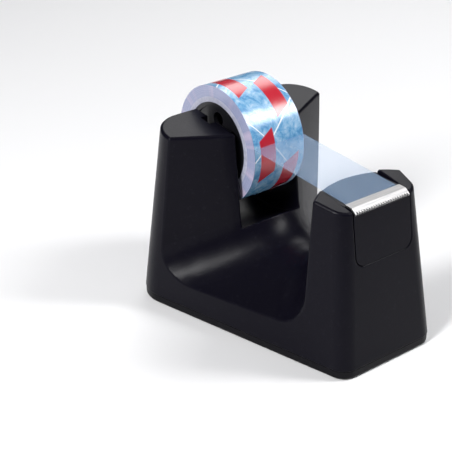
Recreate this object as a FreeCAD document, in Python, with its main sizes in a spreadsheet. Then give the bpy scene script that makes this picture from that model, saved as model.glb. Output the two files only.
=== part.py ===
import FreeCAD, Part
import math
import os
import re
import Sketcher

# Desk tape dispenser: a wedge-shaped housing with a roll between two cheeks at the
# rear and a serrated cutter on a short tower at the front. Millimetres, +Z up.
# The front (cutter end) faces -Y. The origin is on the ground under the middle of
# the object's bounding box.

doc = FreeCAD.newDocument("tape_dispenser")

# ---------------------------------------------------------------- driving dimensions
DIMENSIONS = [
    # footprint of the housing at the parting line with the base plate
    ("front_y", -42.6),
    ("rear_y", 37.0),
    ("front_half", 17.4),
    ("rear_half", 35.4),
    ("front_corner", 5.0),
    ("rear_corner", 10.0),
    ("parting_z", 2.7),
    # drafted outer walls, measured at the top of the blank form
    ("form_top", 60.0),
    ("front_lean", 8.6),
    ("rear_lean", 5.0),
    ("side_lean_front", 6.2),
    ("side_lean_rear", 2.2),
    # sloping tops of the two towers
    ("tower_top_z", 53.9),
    ("tower_top_y", 12.0),
    ("tower_top_rise", 0.136),
    ("cheek_top_z", 50.3),
    ("cheek_top_y", -22.6),
    ("cheek_top_rise", 0.17),
    ("tower_split_y", -5.0),
    # valley between the towers: a gable floor and a concave sweep up both walls
    ("valley_start_y", -40.0),
    ("valley_length", 90.0),
    ("ridge_z", 20.3),
    ("ridge_rise", 7.9),
    ("gable_slope", 0.5),
    ("crown_round", 20.0),
    ("foot_sweep", 13.0),
    ("foot_sweep_end", 6.0),
    ("valley_half", 45.0),
    # roundings of the moulded edges
    ("rim_round", 0.9),
    ("foot_round", 0.35),
    ("slot_round", 0.5),
    ("recess_round", 0.4),
    # plan of the rear tower's front wall: a rounded nose low down and high up
    ("nose_low_z", -8.0),
    ("nose_low_y", 2.8),
    ("nose_low_round", 21.6),
    ("nose_low_angle", 42.3),
    ("nose_high_z", 62.0),
    ("nose_high_y", 12.6),
    ("nose_high_round", 40.0),
    ("nose_high_angle", 22.0),
    # rear wall of the front tower: an upright cone
    ("front_wall_y", -47.4),
    ("front_wall_low", 28.7),
    ("front_wall_high", 26.6),
    ("front_wall_top", 68.0),
    # slot for the roll and the grooves for its axle
    ("slot_half", 11.05),
    ("trough_round", 26.4),
    ("roll_y", 24.45),
    ("roll_z", 46.9),
    ("groove_round", 2.2),
    ("groove_depth", 2.6),
    # hollow inside
    ("wall", 2.2),
    ("low_roof_z", 7.2),
    ("boss_round", 3.2),
    ("boss_hole", 1.55),
    ("boss_hole_z", 11.0),
    ("cheek_hollow_in", 15.3),
    ("cheek_hollow_out", 25.4),
    ("cheek_hollow_front_in", 18.4),
    ("cheek_hollow_front_out", 24.2),
    ("cheek_hollow_rear", 28.8),
    ("cheek_hollow_z", 50.8),
    ("front_hollow_half", 11.0),
    ("front_hollow_front", -31.0),
    ("front_hollow_rear", -24.2),
    ("front_hollow_z", 43.0),
    ("ballast_clear", 0.6),
    # cutter carrier and its recess
    ("recess_half", 10.7),
    ("recess_floor_z", 32.0),
    ("recess_corner", 3.2),
    ("carrier_gap", 0.15),
    ("panel_thick", 2.2),
    ("bed_rear_z", 49.1),
    ("bed_front_z", 48.5),
    ("bed_thick", 3.0),
    # blade
    ("blade_half", 10.25),
    ("blade_thick", 0.5),
    ("blade_rear_y", -32.1),
    ("blade_bend_y", -34.4),
    ("blade_tip_y", -36.1),
    ("blade_flat_z", 48.5),
    ("blade_tip_z", 47.6),
    ("tooth_pitch", 0.9),
    ("tooth_depth", 0.8),
    # base plate, pad, screws and ballast
    ("base_low_z", 0.1),
    ("base_inset", 0.1),
    ("base_edge", 0.9),
    ("pad_thick", 1.0),
    ("pad_corner", 4.0),
    ("pad_front_y", -30.0),
    ("pad_front_half", 12.0),
    ("pad_rear_y", 20.0),
    ("pad_rear_half", 22.0),
    ("screw_front_x", 10.5),
    ("screw_front_y", -35.6),
    ("screw_rear_x", 26.0),
    ("screw_rear_y", 26.0),
    ("screw_round", 1.5),
    ("screw_head_round", 2.8),
    ("screw_length", 9.0),
    ("screw_sink", 0.05),
    ("cross_long", 3.0),
    ("cross_wide", 0.7),
    ("cross_deep", 0.85),
    ("hole_slack", 0.1),
    ("ballast_half", 17.0),
    ("ballast_front_y", -8.0),
    ("ballast_rear_y", 24.0),
    ("ballast_top_z", 9.6),
    ("ballast_corner", 1.5),
    # roll of tape
    ("tape_half", 9.5),
    ("core_inner", 13.05),
    ("core_outer", 14.6),
    ("roll_round", 18.1),
    ("hub_round", 12.95),
    ("hub_wall", 1.2),
    ("hub_side_x", 9.3),
    ("axle_round", 2.0),
    ("axle_end_x", 13.2),
    ("hub_boss_round", 4.0),
    ("hub_window", 2.2),
    ("hub_joint", 0.05),
    # free tape from the roll to the blade
    ("web_thick", 0.15),
    ("web_gap", 0.12),
    ("peel_angle", 13.0),
]

sheet = doc.addObject("Spreadsheet::Sheet", "Sheet")
for row, (alias, size) in enumerate(DIMENSIONS, start=1):
    sheet.set(f"A{row}", alias)
    sheet.set(f"B{row}", str(size))
    sheet.setAlias(f"B{row}", alias)
doc.recompute()


def bound(text):
    """Turn a formula of sheet names into an expression that FreeCAD can bind."""
    aliases = {alias for alias, _ in DIMENSIONS}
    return re.sub(r"[a-z_]+", lambda m: f"Sheet.{m[0]}" if m[0] in aliases else m[0], text)


def size(text):
    """Work out the same formula now."""
    return float(sheet.evalExpression(bound(text)))


# ---------------------------------------------------------------- drawing helpers
PLANES = {
    "XY": FreeCAD.Rotation(),
    "XZ": FreeCAD.Rotation(FreeCAD.Vector(1, 0, 0), 90),
    "YZ": FreeCAD.Rotation(FreeCAD.Vector(1, 1, 1), 120),
}
AXES = {"XY": "z", "XZ": "y", "YZ": "x"}
X_WAYS = FreeCAD.Rotation(FreeCAD.Vector(0, 1, 0), 90)


def pin(sketch, kind, geometry, point, formula):
    """Hold one end of a line or arc at a distance from the origin, bound to the sheet."""
    index = sketch.addConstraint(Sketcher.Constraint(kind, -1, 1, geometry, point, size(formula)))
    sketch.setExpression(f"Constraints[{index}]", bound(formula))


def draw(sketch, corners, arcs=None):
    """Draw a closed outline. Corners are pairs of formulas; arcs maps the number of a
    side to (radius formula, sideways bulge to the left of the way it runs)."""
    arcs = arcs or {}
    points = [FreeCAD.Vector(size(x), size(y), 0) for x, y in corners]
    count = len(points)
    starts = []
    for side in range(count):
        first = points[side]
        last = points[(side + 1) % count]
        if side in arcs:
            across = last - first
            left = FreeCAD.Vector(-across.y, across.x, 0).normalize()
            middle = (first + last) * 0.5 + left * arcs[side][1]
            sketch.addGeometry(Part.Arc(first, middle, last))
            start = 1 if sketch.getPoint(side, 1).distanceToPoint(first) < 1e-6 else 2
        else:
            sketch.addGeometry(Part.LineSegment(first, last))
            start = 1
        starts.append(start)
    for side in range(count):
        following = (side + 1) % count
        end = 3 - starts[side]
        sketch.addConstraint(Sketcher.Constraint("Coincident", side, end, following, starts[following]))
    for side, (x, y) in enumerate(corners):
        pin(sketch, "DistanceX", side, starts[side], x)
        pin(sketch, "DistanceY", side, starts[side], y)
    for side, (radius, _) in arcs.items():
        index = sketch.addConstraint(Sketcher.Constraint("Radius", side, size(radius)))
        sketch.setExpression(f"Constraints[{index}]", bound(radius))
    return sketch


def outline(name, plane, corners, arcs=None, offset="0"):
    """A free sketch on one of the main planes."""
    sketch = doc.addObject("Sketcher::SketchObject", name)
    sketch.Placement.Rotation = PLANES[plane]
    draw(sketch, corners, arcs)
    sketch.setExpression(f"Placement.Base.{AXES[plane]}", bound(offset))
    return sketch


def body_outline(body, name, role, corners, arcs=None, offset="0"):
    """A sketch on one of a body's own origin planes."""
    plane = next(f for f in body.Origin.OriginFeatures if f.Role == role)
    sketch = body.newObject("Sketcher::SketchObject", name)
    sketch.AttachmentSupport = [(plane, "")]
    sketch.MapMode = "FlatFace"
    draw(sketch, corners, arcs)
    sketch.setExpression("AttachmentOffset.Base.z", bound(offset))
    return sketch


def add(kind, name, **sizes):
    """A Part primitive whose properties are bound to formulas."""
    thing = doc.addObject(kind, name)
    for prop, formula in sizes.items():
        thing.setExpression(prop.replace("__", "."), bound(formula))
    return thing


def extrude(name, sketch, way, length, both=False):
    """Push a sketch out along a direction."""
    thing = add("Part::Extrusion", name, LengthFwd=length)
    thing.Base = sketch
    thing.DirMode = "Custom"
    thing.Dir = way
    thing.Solid = True
    thing.Symmetric = both
    return thing


def loft(name, *sections):
    """A straight-sided solid between outlines."""
    thing = doc.addObject("Part::Loft", name)
    thing.Sections = list(sections)
    thing.Solid = True
    thing.Ruled = True
    return thing


def cut(name, base, tool):
    thing = doc.addObject("Part::Cut", name)
    thing.Base = base
    thing.Tool = tool
    return thing


def common(name, base, tool):
    thing = doc.addObject("Part::Common", name)
    thing.Base = base
    thing.Tool = tool
    return thing


def fuse(name, *shapes):
    thing = doc.addObject("Part::MultiFuse", name)
    thing.Shapes = list(shapes)
    return thing


def rounded(name, base, radius, wanted):
    """Fillet the edges of a shape that pass a test. wanted gets an edge."""
    doc.recompute()
    numbers = [n for n, edge in enumerate(base.Shape.Edges, start=1) if wanted(edge)]
    thing = doc.addObject("Part::Fillet", name)
    thing.Base = base
    thing.Edges = [(n, size(radius), size(radius)) for n in numbers]
    return thing


def edge_middle(edge):
    return edge.valueAt((edge.FirstParameter + edge.LastParameter) / 2)


def upright(edge):
    """True for an edge that climbs more than it runs."""
    box = edge.BoundBox
    return box.ZLength > 2 * math.hypot(box.XLength, box.YLength)


def creased(base, edge):
    """True where two faces of a shape meet at a visible angle."""
    if edge.Length < size("rim_round"):
        return False
    middle = edge_middle(edge)
    normals = [face.normalAt(*face.Surface.parameter(middle))
               for face in base.Shape.ancestorsOfType(edge, Part.Face)]
    return math.degrees(normals[0].getAngle(normals[-1])) > 20


# ---------------------------------------------------------------- outer form
SPLAY = "(rear_half - front_half) / (rear_y - front_y)"
TOP_FRONT_HALF = f"front_half + {SPLAY} * front_lean - side_lean_front"
TOP_REAR_HALF = f"rear_half - {SPLAY} * rear_lean - side_lean_rear"


def wedge_plan(front, rear, front_wide, rear_wide, inset="0"):
    """The four corners of a symmetric wedge plan, drawn in by an inset."""
    return [
        (f"-({front_wide}) + {inset}", f"{front} + {inset}"),
        (f"{front_wide} - {inset}", f"{front} + {inset}"),
        (f"{rear_wide} - {inset}", f"{rear} - {inset}"),
        (f"-({rear_wide}) + {inset}", f"{rear} - {inset}"),
    ]


def drafted_form(name, inset):
    """The leaning outer walls, or the same form drawn in by a wall thickness."""
    low = outline(f"{name}_low", "XY", wedge_plan("front_y", "rear_y", "front_half", "rear_half", inset),
                  offset="parting_z")
    high = outline(f"{name}_high", "XY",
                   wedge_plan("front_y + front_lean", "rear_y - rear_lean", TOP_FRONT_HALF, TOP_REAR_HALF, inset),
                   offset="form_top")
    return loft(name, low, high)


def round_uprights(name, form, inset="0"):
    """Round the front pair of upright edges tighter than the rear pair."""
    fronts = rounded(f"{name}_fronts", form, f"front_corner - {inset}",
                     lambda e: upright(e) and edge_middle(e).y < 0)
    return rounded(name, fronts, f"rear_corner - {inset}",
                   lambda e: upright(e) and edge_middle(e).y > 20)


blank = round_uprights("blank", drafted_form("walls", "0"))

# Everything above the two sloping tops.
CHEEK_TOP = "cheek_top_z + cheek_top_rise * ({} - cheek_top_y)"
TOWER_TOP = "tower_top_z + tower_top_rise * ({} - tower_top_y)"
sky_sketch = outline("sky_sketch", "YZ", [
    ("-80", CHEEK_TOP.format("-80")),
    ("tower_split_y", CHEEK_TOP.format("tower_split_y")),
    ("tower_split_y", TOWER_TOP.format("tower_split_y")),
    ("80", TOWER_TOP.format("80")),
    ("80", "120"),
    ("-80", "120"),
])
sky = extrude("sky", sky_sketch, (1, 0, 0), "160", both=True)
form = cut("form", blank, sky)


# ---------------------------------------------------------------- valley between the towers
def nose(name, height, tip, radius, angle):
    """Plan of the tower's front wall: a rounded nose with a straight flank each side."""
    touch_x = f"{radius} * sin({angle})"
    touch_y = f"{tip} + {radius} * (1 - cos({angle}))"
    flank_y = f"{touch_y} + (valley_half - {touch_x}) * tan({angle})"
    bulge = size(f"{radius} * (1 - cos({angle}))")
    return outline(name, "XY", [
        (f"-{touch_x}", touch_y),
        (touch_x, touch_y),
        ("valley_half", flank_y),
        ("valley_half", "120"),
        ("-valley_half", "120"),
        ("-valley_half", flank_y),
    ], arcs={0: (radius, -bulge)}, offset=height)


gable_sketch = outline("gable_sketch", "XZ", [
    ("0", "ridge_z"),
    ("valley_half", "ridge_z - gable_slope * valley_half"),
    ("valley_half", "120"),
    ("-valley_half", "120"),
    ("-valley_half", "ridge_z - gable_slope * valley_half"),
], offset="valley_start_y")
gable = add("Part::Extrusion", "gable", LengthFwd="valley_length", Dir__x="0", Dir__y="valley_length",
            Dir__z="ridge_rise")
gable.Base = gable_sketch
gable.DirMode = "Custom"
gable.Solid = True
crowned = rounded("crowned", gable, "crown_round",
                  lambda e: abs(edge_middle(e).x) < 1e-6 and e.BoundBox.YLength > 10)
tower_side = loft("tower_side",
                  nose("nose_low", "nose_low_z", "nose_low_y", "nose_low_round", "nose_low_angle"),
                  nose("nose_high", "nose_high_z", "nose_high_y", "nose_high_round", "nose_high_angle"))
front_side = add("Part::Cone", "front_side", Radius1="front_wall_low", Radius2="front_wall_high",
                 Height="front_wall_top", Placement__Base__y="front_wall_y",
                 Placement__Base__z="nose_low_z")
valley_sharp = cut("valley_sharp", cut("valley_behind", crowned, tower_side), front_side)
doc.recompute()
feet = [(n, edge) for n, edge in enumerate(valley_sharp.Shape.Edges, start=1)
        if edge.Curve.TypeId != "Part::GeomLine" and edge.BoundBox.ZMax < 30 and edge.BoundBox.XLength > 5]


def sweep_at(edge, parameter):
    """The foot's radius at one end of an edge: tighter at the valley's open ends."""
    far = abs(edge.valueAt(parameter).x) > size("valley_half") / 2
    return size("foot_sweep_end" if far else "foot_sweep")


valley = doc.addObject("Part::Fillet", "valley")
valley.Base = valley_sharp
valley.Edges = [(n, sweep_at(edge, edge.FirstParameter), sweep_at(edge, edge.LastParameter))
                for n, edge in feet]
hollowed = cut("hollowed", form, valley)
softened = rounded("softened", hollowed, "rim_round",
                   lambda e: edge_middle(e).z > size("parting_z") + 1 and creased(hollowed, e))
footed = rounded("footed", softened, "foot_round",
                 lambda e: edge_middle(e).z < size("parting_z") + 0.1 and creased(softened, e))


# ---------------------------------------------------------------- slot for the roll
trough = add("Part::Cylinder", "trough", Radius="trough_round", Height="2 * slot_half",
             Placement__Base__x="-slot_half", Placement__Base__y="roll_y", Placement__Base__z="roll_z")
trough.Placement.Rotation = X_WAYS
slot_top = add("Part::Box", "slot_top", Length="2 * slot_half", Width="2 * trough_round", Height="40",
               Placement__Base__x="-slot_half", Placement__Base__y="roll_y - trough_round",
               Placement__Base__z="roll_z")
groove_low = add("Part::Cylinder", "groove_low", Radius="groove_round",
                 Height="2 * slot_half + 2 * groove_depth",
                 Placement__Base__x="-slot_half - groove_depth", Placement__Base__y="roll_y",
                 Placement__Base__z="roll_z")
groove_low.Placement.Rotation = X_WAYS
groove_top = add("Part::Box", "groove_top", Length="2 * slot_half + 2 * groove_depth",
                 Width="2 * groove_round", Height="40",
                 Placement__Base__x="-slot_half - groove_depth",
                 Placement__Base__y="roll_y - groove_round", Placement__Base__z="roll_z")
slot = fuse("slot", trough, slot_top, groove_low, groove_top)
slotted = cut("slotted", footed, slot)


def clear_of_grooves(edge):
    return abs(edge_middle(edge).y - size("roll_y")) > size("groove_round + slot_round")


def not_the_sill(edge):
    """Leave the low front edge of the slot crisp."""
    middle = edge_middle(edge)
    return abs(middle.x) > size("slot_half") - 0.1 or middle.y > size("roll_y")


def opened_edge(before, after, edge):
    """True for a crease that a cut has just made in the outer surface."""
    middle = Part.Vertex(edge_middle(edge))
    on_skin = before.Shape.Shells[0].distToShape(middle)[0] < 1e-3
    return on_skin and clear_of_grooves(edge) and creased(after, edge)


slot_softened = rounded("slot_softened", slotted, "slot_round",
                        lambda e: opened_edge(footed, slotted, e) and not_the_sill(e))


# ---------------------------------------------------------------- recess for the cutter carrier
FACE = "front_y + front_lean * (({}) - parting_z) / (form_top - parting_z)"
BED = "bed_front_z + (bed_rear_z - bed_front_z) * ({} - blade_rear_y) / (cheek_top_y - blade_rear_y)"


def carrier_space(name, gap):
    """The inset front panel and the bed above it, as one bent space. gap draws it in."""
    half = f"(recess_half - {gap})"
    floor = f"(recess_floor_z + {gap})"
    bulge = size("recess_corner") * (1 - math.cos(math.pi / 4))
    window = outline(f"{name}_window", "XZ", [
        (f"-{half} + recess_corner", floor),
        (f"{half} - recess_corner", floor),
        (half, f"{floor} + recess_corner"),
        (half, "100"),
        (f"-{half}", "100"),
        (f"-{half}", f"{floor} + recess_corner"),
    ], arcs={1: ("recess_corner", -bulge), 5: ("recess_corner", -bulge)}, offset="front_y - 10")
    channel = extrude(f"{name}_channel", window, (0, 1, 0), "-front_y + 10")
    under = "(bed_front_z - bed_thick)"
    core_outline = outline(f"{name}_core_outline", "YZ", [
        (f"{FACE.format('20')} + panel_thick - {gap}", "20"),
        ("10", "20"),
        ("10", f"bed_rear_z - bed_thick + {gap}"),
        (f"{FACE.format(under)} + panel_thick - {gap}", f"{under} + {gap}"),
    ])
    core = extrude(f"{name}_core", core_outline, (1, 0, 0), "60", both=True)
    return cut(name, channel, core)


recess = carrier_space("recess", "0")
recessed = cut("recessed", slot_softened, recess)
recess_softened = rounded("recess_softened", recessed, "recess_round",
                          lambda e: opened_edge(slot_softened, recessed, e))
bed_sky_sketch = outline("bed_sky_sketch", "YZ", [
    ("front_y - 10", "blade_tip_z - 0.5 + (blade_tip_y - front_y + 10) * -1"),
    ("blade_bend_y", BED.format("blade_bend_y")),
    ("40", BED.format("40")),
    ("40", "100"),
    ("front_y - 10", "100"),
])
bed_sky = extrude("bed_sky", bed_sky_sketch, (1, 0, 0), "60", both=True)
cutter_carrier = cut("cutter_carrier", common("carrier_blank", footed, carrier_space("carrier_block", "carrier_gap")),
                     bed_sky)


# ---------------------------------------------------------------- hollow underside
SCREWS = [
    ("-screw_front_x", "screw_front_y"),
    ("screw_front_x", "screw_front_y"),
    ("-screw_rear_x", "screw_rear_y"),
    ("screw_rear_x", "screw_rear_y"),
]


def block(name, left, right, front, rear, low, high):
    """A box between formulas."""
    return add("Part::Box", name, Length=f"{right} - ({left})", Width=f"{rear} - ({front})",
               Height=f"{high} - ({low})", Placement__Base__x=left, Placement__Base__y=front,
               Placement__Base__z=low)


def rod(name, x, y, low, high, radius):
    """An upright cylinder between two heights."""
    return add("Part::Cylinder", name, Radius=radius, Height=f"{high} - ({low})",
               Placement__Base__x=x, Placement__Base__y=y, Placement__Base__z=low)


inside = round_uprights("inside", drafted_form("inside_walls", "wall"), "wall")
low_hollow = common("low_hollow", inside,
                    block("low_slab", "-60", "60", "-60", "60", "0", "low_roof_z"))
ballast_hollow = block("ballast_hollow", "-ballast_half - ballast_clear", "ballast_half + ballast_clear",
                       "ballast_front_y - ballast_clear", "ballast_rear_y + ballast_clear", "0",
                       "ballast_top_z + ballast_clear")
front_hollow = block("front_hollow", "-front_hollow_half", "front_hollow_half", "front_hollow_front",
                     "front_hollow_rear", "0", "front_hollow_z")


def cheek_hollow(name, side):
    """The hollow inside one cheek of the rear tower."""
    plan = outline(f"{name}_plan", "XY", [
        (f"{side} * cheek_hollow_in", "cheek_hollow_front_in"),
        (f"{side} * cheek_hollow_out", "cheek_hollow_front_out"),
        (f"{side} * cheek_hollow_out", "cheek_hollow_rear"),
        (f"{side} * cheek_hollow_in", "cheek_hollow_rear"),
    ])
    return extrude(name, plan, (0, 0, 1), "cheek_hollow_z")


hollow = fuse("hollow", low_hollow, ballast_hollow, front_hollow,
              cheek_hollow("left_hollow", -1), cheek_hollow("right_hollow", 1))
bosses = fuse("bosses", *[rod(f"boss_{n}", x, y, "0", "low_roof_z", "boss_round")
                          for n, (x, y) in enumerate(SCREWS)])
boss_holes = fuse("boss_holes", *[rod(f"boss_hole_{n}", x, y, "0", "boss_hole_z", "boss_hole")
                                  for n, (x, y) in enumerate(SCREWS)])
shell_tool = fuse("shell_tool", cut("hollow_round_bosses", hollow, bosses), boss_holes)
upper_housing = cut("upper_housing", recess_softened, shell_tool)


# ---------------------------------------------------------------- base plate, screws, pad, ballast
def screw(name, x, y, slack):
    """A countersunk screw driven up from below; slack makes its clearance hole."""
    head = add("Part::Cone", f"{name}_head", Radius1=f"screw_head_round + {slack}",
               Radius2=f"screw_round + {slack}", Height="screw_head_round - screw_round",
               Placement__Base__x=x, Placement__Base__y=y, Placement__Base__z="base_low_z + screw_sink")
    shank = rod(f"{name}_shank", x, y, "base_low_z + screw_sink", "base_low_z + screw_length",
                f"screw_round + {slack}")
    return fuse(name, head, shank)


def cross(name, x, y):
    """The cross recess in a screw head."""
    arms = []
    for number, (long, wide) in enumerate((("cross_long", "cross_wide"), ("cross_wide", "cross_long"))):
        arms.append(block(f"{name}_{number}", f"{x} - {long} / 2", f"{x} + {long} / 2",
                          f"{y} - {wide} / 2", f"{y} + {wide} / 2", "0", "base_low_z + cross_deep"))
    return fuse(name, *arms)


base_body = doc.addObject("PartDesign::Body", "base_body")
base_plan = body_outline(base_body, "base_plan", "XY_Plane",
                         wedge_plan("front_y", "rear_y", "front_half", "rear_half", "base_inset"),
                         offset="base_low_z")
base_pad = base_body.newObject("PartDesign::Pad", "base_pad")
base_pad.Profile = base_plan
base_pad.setExpression("Length", bound("parting_z - base_low_z"))
doc.recompute()


def body_fillet(body, name, base, radius, wanted):
    """Round the edges of a body's feature that pass a test."""
    names = [f"Edge{n}" for n, edge in enumerate(base.Shape.Edges, start=1) if wanted(edge)]
    fillet = body.newObject("PartDesign::Fillet", name)
    fillet.Base = (base, names)
    fillet.setExpression("Radius", bound(radius))
    doc.recompute()
    return fillet


base_fronts = body_fillet(base_body, "base_fronts", base_pad, "front_corner",
                          lambda e: upright(e) and edge_middle(e).y < 0)
base_rears = body_fillet(base_body, "base_rears", base_fronts, "rear_corner",
                         lambda e: upright(e) and edge_middle(e).y > 20)
base_under = body_fillet(base_body, "base_under", base_rears, "base_edge",
                         lambda e: e.BoundBox.ZMax < size("base_low_z") + 0.01)
PAD_PLAN = [
    ("-pad_front_half", "pad_front_y"),
    ("pad_front_half", "pad_front_y"),
    ("pad_rear_half", "pad_rear_y"),
    ("-pad_rear_half", "pad_rear_y"),
]


stop_pad_plan = outline("stop_pad_plan", "XY", PAD_PLAN)
stop_pad = rounded("stop_pad", extrude("stop_pad_block", stop_pad_plan, (0, 0, 1), "pad_thick"),
                   "pad_corner", upright)
screws = [screw(f"screw_{n}", x, y, "0") for n, (x, y) in enumerate(SCREWS)]
crosses = [cross(f"cross_{n}", x, y) for n, (x, y) in enumerate(SCREWS)]
base_screws = doc.addObject("Part::Compound", "base_screws")
base_screws.Links = [cut(f"cut_screw_{n}", body, slot_pair)
                     for n, (body, slot_pair) in enumerate(zip(screws, crosses))]
screw_holes = [screw(f"screw_hole_{n}", x, y, "hole_slack") for n, (x, y) in enumerate(SCREWS)]
screw_mouths = [rod(f"screw_mouth_{n}", x, y, "0", "base_low_z + hole_slack", "screw_head_round + hole_slack")
                for n, (x, y) in enumerate(SCREWS)]
base_plate = cut("base_plate", base_body, fuse("base_tool", stop_pad, *screw_holes, *screw_mouths))

ballast_sharp = block("ballast_sharp", "-ballast_half", "ballast_half", "ballast_front_y",
                      "ballast_rear_y", "parting_z", "ballast_top_z")
ballast_block = rounded("ballast_block", ballast_sharp, "ballast_corner", upright)


# ---------------------------------------------------------------- cutter blade
TEETH = 22
blade_profile = outline("blade_profile", "YZ", [
    ("blade_rear_y", BED.format("blade_rear_y")),
    ("blade_bend_y", BED.format("blade_bend_y")),
    ("blade_tip_y", "blade_tip_z - 0.5"),
    ("blade_tip_y - 0.2", "blade_tip_z"),
    ("blade_bend_y - 0.2", f"{BED.format('blade_bend_y')} + blade_thick"),
    ("blade_rear_y", f"{BED.format('blade_rear_y')} + blade_thick"),
])
blade_strip = extrude("blade_strip", blade_profile, (1, 0, 0), "2 * blade_half", both=True)
saw_points = [("-blade_half - 1", "blade_tip_y - 5"), ("blade_half + 1", "blade_tip_y - 5")]
for step in range(TEETH + 1):
    saw_points.append((f"({TEETH / 2} - {step}) * tooth_pitch", "blade_tip_y - 0.3"))
    if step < TEETH:
        saw_points.append((f"({TEETH / 2} - {step} - 0.5) * tooth_pitch",
                           "blade_tip_y - 0.3 + tooth_depth"))
saw_points.append(("-blade_half - 1", "blade_tip_y - 0.3"))
saw_points.insert(2, ("blade_half + 1", "blade_tip_y - 0.3"))
saw = extrude("saw", outline("saw_plan", "XY", saw_points), (0, 0, 1), "100")
cutter_blade = cut("cutter_blade", blade_strip, saw)


# ---------------------------------------------------------------- hub, core and winding
def ring(name, outer, inner):
    """A ring of the tape's width round the roll's axis."""
    discs = []
    for part, radius in (("outer", outer), ("inner", inner)):
        disc = add("Part::Cylinder", f"{name}_{part}", Radius=radius, Height="2 * tape_half",
                   Placement__Base__x="-tape_half", Placement__Base__y="roll_y",
                   Placement__Base__z="roll_z")
        disc.Placement.Rotation = X_WAYS
        discs.append(disc)
    return cut(name, *discs)


tape_core = ring("tape_core", "core_outer", "core_inner")
tape_winding = ring("tape_winding", "roll_round", "core_outer")


def hub_half(name, side):
    """A snap-together half hub: barrel, end wall with six round windows, stub axle."""
    body = doc.addObject("PartDesign::Body", name)
    inner = "(hub_round - hub_wall)"
    steps = [
        ("hub_joint", inner),
        ("hub_side_x - 1.9", inner),
        ("hub_side_x - 1.9", "hub_boss_round"),
        ("hub_side_x - 4", "hub_boss_round"),
        ("hub_side_x - 4", "0"),
        ("axle_end_x", "0"),
        ("axle_end_x", "axle_round - 0.4"),
        ("axle_end_x - 0.4", "axle_round"),
        ("hub_side_x + 1.1", "axle_round"),
        ("hub_side_x + 1.1", "hub_boss_round"),
        ("hub_side_x - 0.5", "hub_boss_round"),
        ("hub_side_x - 0.5", inner),
        ("hub_side_x", inner),
        ("hub_side_x", "hub_round"),
        ("hub_joint", "hub_round"),
    ]
    profile = body_outline(body, f"{name}_profile", "XY_Plane",
                           [(f"{side} * ({x})", r) for x, r in steps])
    turned = body.newObject("PartDesign::Revolution", f"{name}_turned")
    turned.Profile = profile
    turned.ReferenceAxis = (profile, ["H_Axis"])
    turned.Angle = 360
    doc.recompute()
    window = body.newObject("Sketcher::SketchObject", f"{name}_window")
    plane = next(f for f in body.Origin.OriginFeatures if f.Role == "YZ_Plane")
    window.AttachmentSupport = [(plane, "")]
    window.MapMode = "FlatFace"
    middle = "(hub_round - hub_wall + hub_boss_round) / 2"
    window.addGeometry(Part.Circle(FreeCAD.Vector(0, size(middle), 0), FreeCAD.Vector(0, 0, 1),
                                   size("hub_window")))
    pin(window, "DistanceX", 0, 3, "0")
    pin(window, "DistanceY", 0, 3, middle)
    radius = window.addConstraint(Sketcher.Constraint("Radius", 0, size("hub_window")))
    window.setExpression(f"Constraints[{radius}]", "Sheet.hub_window")
    opened = body.newObject("PartDesign::Pocket", f"{name}_opened")
    opened.Profile = window
    opened.Type = "ThroughAll"
    opened.Midplane = True
    doc.recompute()
    around = body.newObject("PartDesign::PolarPattern", f"{name}_around")
    around.Originals = [opened]
    around.Axis = (next(f for f in body.Origin.OriginFeatures if f.Role == "X_Axis"), [""])
    around.Angle = 360
    around.Occurrences = 6
    body.Tip = around
    body.setExpression("Placement.Base.y", bound("roll_y"))
    body.setExpression("Placement.Base.z", bound("roll_z"))
    return body


hub_half_right = hub_half("hub_half_right", 1)
hub_half_left = hub_half("hub_half_left", -1)


# ---------------------------------------------------------------- free tape
PEEL_Y = "roll_y - (roll_round + web_gap) * cos(peel_angle)"
PEEL_Z = "roll_z + (roll_round + web_gap) * sin(peel_angle)"
web_profile = outline("web_profile", "YZ", [
    (PEEL_Y, PEEL_Z),
    ("cheek_top_y", f"{BED.format('cheek_top_y')} + web_gap"),
    ("blade_rear_y + 0.2", f"{BED.format('blade_rear_y')} + web_gap"),
    ("blade_rear_y + 0.2", f"{BED.format('blade_rear_y')} + web_gap + web_thick"),
    ("cheek_top_y", f"{BED.format('cheek_top_y')} + web_gap + web_thick"),
    (PEEL_Y, f"{PEEL_Z} + web_thick"),
])
tape_web = extrude("tape_web", web_profile, (1, 0, 0), "2 * tape_half", both=True)


# ---------------------------------------------------------------- check and write
PIECES = {
    "upper_housing": upper_housing,
    "base_plate": base_plate,
    "stop_pad": stop_pad,
    "base_screws": base_screws,
    "ballast_block": ballast_block,
    "cutter_carrier": cutter_carrier,
    "cutter_blade": cutter_blade,
    "hub_half_left": hub_half_left,
    "hub_half_right": hub_half_right,
    "tape_core": tape_core,
    "tape_winding": tape_winding,
    "tape_web": tape_web,
}
for label, piece in PIECES.items():
    piece.Label = label
doc.recompute()
for thing in doc.Objects:
    if "Invalid" in thing.State or "Error" in thing.State:
        raise RuntimeError(f"{thing.Name} failed: {thing.State}")
for label, piece in PIECES.items():
    if piece.Shape.isNull() or not piece.Shape.isValid() or not piece.Shape.Solids:
        raise RuntimeError(f"{label} has no valid solid")
    print(label, len(piece.Shape.Solids), round(piece.Shape.Volume))
os.makedirs("parts", exist_ok=True)
for label, piece in PIECES.items():
    piece.Shape.exportStep(f"parts/{label}.step")
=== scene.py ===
# %% [markdown]
# # A desk tape dispenser
# The real thing is a heavy little wedge of black moulded plastic. A roll of clear tape
# lies between two cheeks at the back, and a toothed steel strip at the front cuts it.
# The measured model is loaded first, as a fixed frame, in metres, with the cutter end
# facing -Y. Every piece keeps its measured shape, and is given a finish here.

import math

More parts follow.
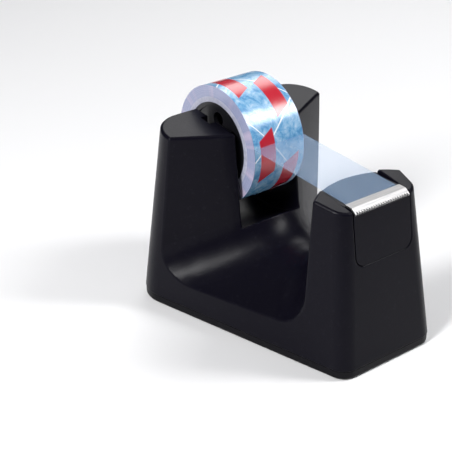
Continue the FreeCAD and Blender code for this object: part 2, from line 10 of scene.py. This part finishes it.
import bpy
from mathutils import Euler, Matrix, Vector


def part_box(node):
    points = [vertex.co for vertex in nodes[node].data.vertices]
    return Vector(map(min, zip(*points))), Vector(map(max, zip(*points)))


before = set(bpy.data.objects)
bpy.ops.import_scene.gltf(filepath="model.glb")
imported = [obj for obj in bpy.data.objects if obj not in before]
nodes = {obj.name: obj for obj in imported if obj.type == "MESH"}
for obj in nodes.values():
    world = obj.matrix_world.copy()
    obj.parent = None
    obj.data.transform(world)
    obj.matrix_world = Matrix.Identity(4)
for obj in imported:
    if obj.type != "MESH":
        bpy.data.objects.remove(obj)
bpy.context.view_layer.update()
for loaded in bpy.context.selected_objects:
    loaded.select_set(False)
print("nodes:", sorted(nodes))

MM = 0.001
MM_PER_METRE = 1000
winding_low, winding_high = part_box("tape_winding")
ROLL = (winding_low + winding_high) / 2
ROLL_RADIUS = (winding_high.z - winding_low.z) / 2
ROLL_HALF = (winding_high.x - winding_low.x) / 2
print("roll axis at", ROLL, "radius", ROLL_RADIUS)

# %% [markdown]
# ## Helpers for finishes
# A finish is a small graph of nodes. Two short helpers keep the graphs readable: one
# adds a node with its values, one joins sockets. A value that is the same all over a
# surface is typed into the shader's own socket, because only that survives an export.

# %% Small helpers for node graphs
def add_node(tree, kind, **values):
    """A node with its properties or input values set by name."""
    node = tree.nodes.new(kind)
    for name, value in values.items():
        if name in node.bl_rna.properties:
            setattr(node, name, value)
        else:
            node.inputs[name.replace("_", " ")].default_value = value
    return node


def maths(tree, operation, first, second=None, third=None):
    """A Math node. Each input is a number or another node's output."""
    node = tree.nodes.new("ShaderNodeMath")
    node.operation = operation
    for socket, source in zip(node.inputs, (first, second, third)):
        if source is None:
            continue
        if isinstance(source, (int, float)):
            socket.default_value = source
        else:
            tree.links.new(source, socket)
    return node.outputs[0]


def new_finish(name, **shader_values):
    """A material with its Principled shader's own sockets set."""
    material = bpy.data.materials.new(name)
    material.use_nodes = True
    shader = material.node_tree.nodes["Principled BSDF"]
    for socket, value in shader_values.items():
        shader.inputs[socket.replace("_", " ")].default_value = value
    return material, material.node_tree, shader


def ramp(tree, source, stops, mode="LINEAR"):
    """A Color Ramp node: stops are (place, colour)."""
    node = tree.nodes.new("ShaderNodeValToRGB")
    node.color_ramp.interpolation = mode
    elements = node.color_ramp.elements
    while len(elements) < len(stops):
        elements.new(0.5)
    for element, (place, colour) in zip(elements, stops):
        element.position = place
        element.color = (*colour, 1)
    tree.links.new(source, node.inputs["Fac"])
    return node.outputs["Color"]


def blend_colours(tree, mask, below, above):
    """Put one colour over another where the mask is 1."""
    node = tree.nodes.new("ShaderNodeMix")
    node.data_type = "RGBA"
    tree.links.new(mask, node.inputs["Factor"])
    for socket, colour in ((node.inputs[6], below), (node.inputs[7], above)):
        if isinstance(colour, tuple):
            socket.default_value = (*colour, 1)
        else:
            tree.links.new(colour, socket)
    return node.outputs[2]


# %% [markdown]
# ## Grain shared by every moulded part
# Moulded plastic isn't smooth: the steel mould is spark-eroded, which leaves a fine,
# even grain. The grain breaks up reflections and makes the plastic satin. It could be
# modelled, but at a tenth of a millimetre a bump is the right tool. The group gives
# back a height for a Bump node, a roughness that drifts a little, and a faint mask of
# dust and handling. It is built once, and each plastic sets its own scale.

# %% The moulded grain group
def build_grain_group():
    group = bpy.data.node_groups.new("moulded_grain", "ShaderNodeTree")
    for name, default in (("Grain Scale", 2600.0), ("Rough Low", 0.3), ("Rough High", 0.4)):
        socket = group.interface.new_socket(name, in_out="INPUT", socket_type="NodeSocketFloat")
        socket.default_value = default
    for name in ("Height", "Roughness", "Wear"):
        group.interface.new_socket(name, in_out="OUTPUT", socket_type="NodeSocketFloat")
    given = group.nodes.new("NodeGroupInput")
    result = group.nodes.new("NodeGroupOutput")
    place = group.nodes.new("ShaderNodeTexCoord").outputs["Object"]
    fine = add_node(group, "ShaderNodeTexNoise", Detail=2.0, Roughness=0.6)
    group.links.new(place, fine.inputs["Vector"])
    group.links.new(given.outputs["Grain Scale"], fine.inputs["Scale"])
    pits = add_node(group, "ShaderNodeTexVoronoi", feature="SMOOTH_F1")
    group.links.new(place, pits.inputs["Vector"])
    group.links.new(given.outputs["Grain Scale"], pits.inputs["Scale"])
    height = maths(group, "MULTIPLY_ADD", pits.outputs["Distance"], 0.5, fine.outputs["Fac"])
    group.links.new(height, result.inputs["Height"])
    slow = add_node(group, "ShaderNodeTexNoise", Scale=38.0, Detail=4.0)
    group.links.new(place, slow.inputs["Vector"])
    spread = add_node(group, "ShaderNodeMapRange", From_Min=0.35, From_Max=0.65)
    group.links.new(slow.outputs["Fac"], spread.inputs["Value"])
    group.links.new(given.outputs["Rough Low"], spread.inputs["To Min"])
    group.links.new(given.outputs["Rough High"], spread.inputs["To Max"])
    group.links.new(spread.outputs["Result"], result.inputs["Roughness"])
    dust = add_node(group, "ShaderNodeTexNoise", Scale=900.0, Detail=3.0)
    group.links.new(place, dust.inputs["Vector"])
    specks = add_node(group, "ShaderNodeMapRange", From_Min=0.60, From_Max=0.78)
    group.links.new(dust.outputs["Fac"], specks.inputs["Value"])
    group.links.new(specks.outputs["Result"], result.inputs["Wear"])
    return group


grain_group = build_grain_group()
print("grain group sockets:", [socket.name for socket in grain_group.interface.items_tree])


# %% [markdown]
# ## Satin plastics
# The housing, its base and the hub are near-black plastic with a hint of violet. They
# differ only in shade, grain size and polish, so one function makes them all. The
# colour is mixed with a slightly lighter tone through the wear mask, as dust would.

# %% Make the satin plastics
def satin_plastic(name, shade, lighter, grain_scale, rough_low, rough_high, bump, specular):
    material, tree, shader = new_finish(name, Specular_IOR_Level=specular)
    grain = tree.nodes.new("ShaderNodeGroup")
    grain.node_tree = grain_group
    grain.inputs["Grain Scale"].default_value = grain_scale
    grain.inputs["Rough Low"].default_value = rough_low
    grain.inputs["Rough High"].default_value = rough_high
    colour = blend_colours(tree, grain.outputs["Wear"], shade, lighter)
    tree.links.new(colour, shader.inputs["Base Color"])
    tree.links.new(grain.outputs["Roughness"], shader.inputs["Roughness"])
    relief = add_node(tree, "ShaderNodeBump", Strength=bump, Distance=0.05 * MM)
    tree.links.new(grain.outputs["Height"], relief.inputs["Height"])
    tree.links.new(relief.outputs["Normal"], shader.inputs["Normal"])
    return material


housing_finish = satin_plastic(
    "housing_plastic", shade=(0.0034, 0.0030, 0.0066), lighter=(0.008, 0.0075, 0.012),
    grain_scale=3200.0, rough_low=0.29, rough_high=0.35, bump=0.55, specular=0.10)
base_finish = satin_plastic(
    "base_plastic", shade=(0.0045, 0.0042, 0.0060), lighter=(0.011, 0.0105, 0.013),
    grain_scale=2600.0, rough_low=0.36, rough_high=0.44, bump=0.6, specular=0.1)
hub_finish = satin_plastic(
    "hub_plastic", shade=(0.006, 0.006, 0.008), lighter=(0.012, 0.012, 0.014),
    grain_scale=3000.0, rough_low=0.28, rough_high=0.36, bump=0.35, specular=0.42)


# %% [markdown]
# ## Metal, rubber and iron
# The cutter is a thin stamped strip. Rolling leaves fine lines along its length, so a
# noise stretched along X drives a small bump and the roughness. The pad under the base
# is soft rubber with an open grain. Inside, a cast block gives the base its weight.

# %% Make the steel
def rolled_steel(name, shade, bright, roughness_low, roughness_high):
    material, tree, shader = new_finish(name, Metallic=1.0)
    place = tree.nodes.new("ShaderNodeTexCoord").outputs["Object"]
    stretch = add_node(tree, "ShaderNodeMapping")
    stretch.inputs["Scale"].default_value = (0.03, 1.0, 1.0)
    tree.links.new(place, stretch.inputs["Vector"])
    lines = add_node(tree, "ShaderNodeTexNoise", Scale=5200.0, Detail=3.0)
    tree.links.new(stretch.outputs["Vector"], lines.inputs["Vector"])
    tree.links.new(ramp(tree, lines.outputs["Fac"], [(0.3, shade), (0.7, bright)]),
                   shader.inputs["Base Color"])
    spread = add_node(tree, "ShaderNodeMapRange", To_Min=roughness_low, To_Max=roughness_high)
    tree.links.new(lines.outputs["Fac"], spread.inputs["Value"])
    tree.links.new(spread.outputs["Result"], shader.inputs["Roughness"])
    relief = add_node(tree, "ShaderNodeBump", Strength=0.25, Distance=0.02 * MM)
    tree.links.new(lines.outputs["Fac"], relief.inputs["Height"])
    tree.links.new(relief.outputs["Normal"], shader.inputs["Normal"])
    return material


blade_finish = rolled_steel("blade_steel", shade=(0.17, 0.17, 0.175), bright=(0.30, 0.295, 0.29),
                            roughness_low=0.30, roughness_high=0.46)
screw_finish = rolled_steel("screw_steel", shade=(0.45, 0.45, 0.47), bright=(0.62, 0.62, 0.64),
                            roughness_low=0.25, roughness_high=0.4)


# %% Make the rubber and the cast iron
def grainy(name, dark, light, scale, bump_depth, roughness, metallic):
    material, tree, shader = new_finish(name, Roughness=roughness, Metallic=metallic)
    place = tree.nodes.new("ShaderNodeTexCoord").outputs["Object"]
    cells = add_node(tree, "ShaderNodeTexNoise", Scale=scale, Detail=5.0)
    tree.links.new(place, cells.inputs["Vector"])
    tree.links.new(ramp(tree, cells.outputs["Fac"], [(0.35, dark), (0.68, light)]),
                   shader.inputs["Base Color"])
    relief = add_node(tree, "ShaderNodeBump", Strength=0.7, Distance=bump_depth)
    tree.links.new(cells.outputs["Fac"], relief.inputs["Height"])
    tree.links.new(relief.outputs["Normal"], shader.inputs["Normal"])
    return material


pad_finish = grainy("pad_rubber", dark=(0.016, 0.016, 0.016), light=(0.034, 0.034, 0.034),
                    scale=1700.0, bump_depth=0.08 * MM, roughness=0.8, metallic=0.0)
iron_finish = grainy("ballast_iron", dark=(0.10, 0.10, 0.10), light=(0.20, 0.19, 0.18),
                     scale=600.0, bump_depth=0.2 * MM, roughness=0.55, metallic=1.0)


# %% [markdown]
# ## The printed film of the roll
# The roll is clear film wound over itself, printed with a pale icy blue pattern, thin
# white lines and plain red flags. An image would be simple, but here the pattern is
# worked out from position. Object coordinates are moved to the roll's axis and turned
# into an unrolled sheet: how far round in millimetres, and how far across. The flags
# and lines are then plain 2-D shapes on that sheet. The sides show the film's edges:
# a cloudy grey-blue with fine rings and a little of the red.

# %% Unroll the roll's surface into flat coordinates
def unrolled(tree):
    """Outputs for the distance round the roll, across it and out from its axis, in mm."""
    place = tree.nodes.new("ShaderNodeTexCoord").outputs["Object"]
    centred = add_node(tree, "ShaderNodeMapping", vector_type="POINT")
    centred.inputs["Location"].default_value = tuple(-ROLL * MM_PER_METRE)
    centred.inputs["Scale"].default_value = (MM_PER_METRE, MM_PER_METRE, MM_PER_METRE)
    tree.links.new(place, centred.inputs["Vector"])
    parts = tree.nodes.new("ShaderNodeSeparateXYZ")
    tree.links.new(centred.outputs["Vector"], parts.inputs[0])
    angle = maths(tree, "ARCTAN2", parts.outputs["Z"], parts.outputs["Y"])
    round_mm = maths(tree, "MULTIPLY", angle, ROLL_RADIUS / MM)
    squares = maths(tree, "MULTIPLY_ADD", parts.outputs["Z"], parts.outputs["Z"],
                    maths(tree, "MULTIPLY", parts.outputs["Y"], parts.outputs["Y"]))
    return round_mm, parts.outputs["X"], maths(tree, "SQRT", squares)


def stripe(tree, value, period, shift, half, soft=0.12):
    """1 inside thin lines that repeat along a value, with soft edges."""
    moved = maths(tree, "ADD", value, shift)
    near = maths(tree, "PINGPONG", moved, period / 2)
    edge = add_node(tree, "ShaderNodeMapRange", From_Min=half + soft, From_Max=half - soft)
    tree.links.new(near, edge.inputs["Value"])
    return edge.outputs["Result"]


# %% Make the printed film
# Sizes on the unrolled sheet are in millimetres, and a slant is mm round per mm across.
REPEATS = 4
LINE_SLANTS = ((0.85, 8.0, 0.28), (-1.25, 1.0, 0.25))
FLAG_SLANT = 0.55
FLAG_HALF_LENGTH = 6.9
FLAG_COLUMNS = (-4.3, 4.6)
FLAG_START = 3.0
FLAG_EDGES = (2.95, 2.65)
SIDE_STARTS = 0.25
SIDE_FULL = 0.08


def printed_film():
    material, tree, shader = new_finish("tape_film", Roughness=0.22, Specular_IOR_Level=0.5,
                                        Coat_Weight=0.35, Coat_Roughness=0.2)
    along, across, out = unrolled(tree)
    sheet = tree.nodes.new("ShaderNodeCombineXYZ")
    tree.links.new(along, sheet.inputs["X"])
    tree.links.new(across, sheet.inputs["Y"])
    ice = add_node(tree, "ShaderNodeTexNoise", Scale=0.30, Detail=9.0, Roughness=0.78,
                   Distortion=0.6)
    tree.links.new(sheet.outputs["Vector"], ice.inputs["Vector"])
    blues = ramp(tree, ice.outputs["Fac"], [
        (0.36, (0.06, 0.22, 0.46)), (0.46, (0.13, 0.35, 0.60)),
        (0.54, (0.26, 0.47, 0.68)), (0.66, (0.50, 0.64, 0.78))])
    period = ROLL_RADIUS / MM * 2 * math.pi / REPEATS
    lines = maths(tree, "MAXIMUM", *[
        stripe(tree, maths(tree, "MULTIPLY_ADD", across, slant, along), period, shift, half)
        for slant, shift, half in LINE_SLANTS])
    lined = blend_colours(tree, lines, blues, (0.86, 0.91, 0.95))
    flags = []
    for number, column in enumerate(FLAG_COLUMNS):
        slanted = maths(tree, "MULTIPLY_ADD", across, FLAG_SLANT, along)
        shift = FLAG_START + number * period / 2
        length = stripe(tree, slanted, period, shift, FLAG_HALF_LENGTH, soft=0.15)
        beside = maths(tree, "ABSOLUTE", maths(tree, "SUBTRACT", across, column))
        width = add_node(tree, "ShaderNodeMapRange", From_Min=FLAG_EDGES[0], From_Max=FLAG_EDGES[1])
        tree.links.new(beside, width.inputs["Value"])
        flags.append(maths(tree, "MULTIPLY", length, width.outputs["Result"]))
    flags = maths(tree, "MAXIMUM", *flags)
    printed = blend_colours(tree, flags, lined, (0.50, 0.018, 0.035))
    on_side = add_node(tree, "ShaderNodeMapRange", From_Min=ROLL_HALF / MM - SIDE_STARTS,
                       From_Max=ROLL_HALF / MM - SIDE_FULL)
    tree.links.new(maths(tree, "ABSOLUTE", across), on_side.inputs["Value"])
    rings = add_node(tree, "ShaderNodeTexNoise", noise_dimensions="1D", Scale=5.5, Detail=3.0)
    tree.links.new(out, rings.inputs["W"])
    tints = add_node(tree, "ShaderNodeTexNoise", Scale=0.22, Detail=3.0)
    tree.links.new(sheet.outputs["Vector"], tints.inputs["Vector"])
    milky = ramp(tree, rings.outputs["Fac"], [(0.3, (0.20, 0.22, 0.36)), (0.7, (0.36, 0.39, 0.54))])
    rosy = add_node(tree, "ShaderNodeMapRange", From_Min=0.52, From_Max=0.75, To_Max=0.5)
    tree.links.new(tints.outputs["Fac"], rosy.inputs["Value"])
    side = blend_colours(tree, rosy.outputs["Result"], milky, (0.84, 0.60, 0.70))
    colour = blend_colours(tree, on_side.outputs["Result"], printed, side)
    tree.links.new(colour, shader.inputs["Base Color"])
    relief = add_node(tree, "ShaderNodeBump", Strength=0.35, Distance=0.05 * MM)
    tree.links.new(rings.outputs["Fac"], relief.inputs["Height"])
    tree.links.new(relief.outputs["Normal"], shader.inputs["Normal"])
    return material


film_finish = printed_film()


# %% Make the clear free tape and the core
def clear_film():
    material, tree, shader = new_finish("web_film", Roughness=0.28, Specular_IOR_Level=0.25)
    place = tree.nodes.new("ShaderNodeTexCoord").outputs["Object"]
    streaks = add_node(tree, "ShaderNodeMapping")
    streaks.inputs["Scale"].default_value = (1.0, 0.06, 0.06)
    tree.links.new(place, streaks.inputs["Vector"])
    haze = add_node(tree, "ShaderNodeTexNoise", Scale=420.0, Detail=3.0)
    tree.links.new(streaks.outputs["Vector"], haze.inputs["Vector"])
    blues = ramp(tree, haze.outputs["Fac"], [(0.3, (0.20, 0.36, 0.60)), (0.7, (0.27, 0.44, 0.68))])
    tree.links.new(blues, shader.inputs["Base Color"])
    thin = add_node(tree, "ShaderNodeMapRange", To_Min=0.17, To_Max=0.21)
    tree.links.new(haze.outputs["Fac"], thin.inputs["Value"])
    tree.links.new(thin.outputs["Result"], shader.inputs["Alpha"])
    return material


web_finish = clear_film()
core_finish = grainy("core_card", dark=(0.30, 0.31, 0.40), light=(0.42, 0.43, 0.52),
                     scale=900.0, bump_depth=0.03 * MM, roughness=0.4, metallic=0.0)

# %% Dress the measured parts
FINISHES = {
    "upper_housing": housing_finish,
    "cutter_carrier": housing_finish,
    "base_plate": base_finish,
    "stop_pad": pad_finish,
    "base_screws": screw_finish,
    "ballast_block": iron_finish,
    "cutter_blade": blade_finish,
    "hub_half_left": hub_finish,
    "hub_half_right": hub_finish,
    "tape_core": core_finish,
    "tape_winding": film_finish,
    "tape_web": web_finish,
}
for name, finish in FINISHES.items():
    slots = nodes[name].material_slots
    for slot in slots:
        slot.material = finish
    if not slots:
        nodes[name].data.materials.append(finish)
print("finishes placed:", len(FINISHES))


# %% [markdown]
# ## The floor and the light
# A plain pale floor and soft light show black plastic best. The plastic itself has
# little colour, so its shape is drawn by what it reflects. A narrow strip on the left
# draws the long sweep of the valley, and a weaker one on the right shows the front. A
# small sheet behind lights the tops, and a broad one far above fills the rest.

# %% Lay the floor
bpy.ops.mesh.primitive_plane_add(size=8.0, location=(0, 0, 0))
floor = bpy.context.object
floor.name = "floor"
floor_finish, floor_tree, floor_shader = new_finish("floor", Roughness=0.9, Specular_IOR_Level=0.1)
floor_shader.inputs["Base Color"].default_value = (0.86, 0.86, 0.865, 1)
floor.data.materials.append(floor_finish)


# %% Hang the lights
LIGHT_TARGET = Vector((0, 0, 0.03))


def softbox(name, place, width, height, power):
    """A rectangular area light aimed at the middle of the dispenser."""
    data = bpy.data.lights.new(name, "AREA")
    data.shape = "RECTANGLE"
    data.size = width
    data.size_y = height
    data.energy = power
    light = bpy.data.objects.new(name, data)
    light.location = place
    light.rotation_euler = (LIGHT_TARGET - Vector(place)).to_track_quat("-Z", "Y").to_euler()
    bpy.context.scene.collection.objects.link(light)


softbox("left_strip", (-0.50, -0.09, 0.42), width=0.13, height=0.34, power=4.4)
softbox("right_strip", (0.34, -0.26, 0.46), width=0.13, height=0.30, power=2.3)
softbox("back_light", (0.42, 0.42, 0.50), width=0.40, height=0.30, power=1.6)
softbox("top_sheet", (0.0, 0.0, 1.40), width=1.6, height=1.6, power=2.6)
world = bpy.data.worlds.new("studio")
world.use_nodes = True
world.node_tree.nodes["Background"].inputs["Color"].default_value = (0.80, 0.80, 1.0, 1)
world.node_tree.nodes["Background"].inputs["Strength"].default_value = 0.05
bpy.context.scene.world = world
bpy.context.scene.view_settings.view_transform = "Standard"

# %% [markdown]
# ## The camera
# A longish lens from the front left and a little above keeps the edges of the small
# object nearly parallel.

# %% Place the camera
lens = bpy.data.cameras.new("camera")
lens.lens = 98.3
lens.sensor_width = 36.0
lens.clip_start = 0.01
camera = bpy.data.objects.new("camera", lens)
camera.location = (-0.2184, -0.2428, 0.1962)
camera.rotation_euler = Euler((math.radians(62.45), 0, math.radians(-38.50)))
bpy.context.scene.collection.objects.link(camera)
bpy.context.scene.camera = camera
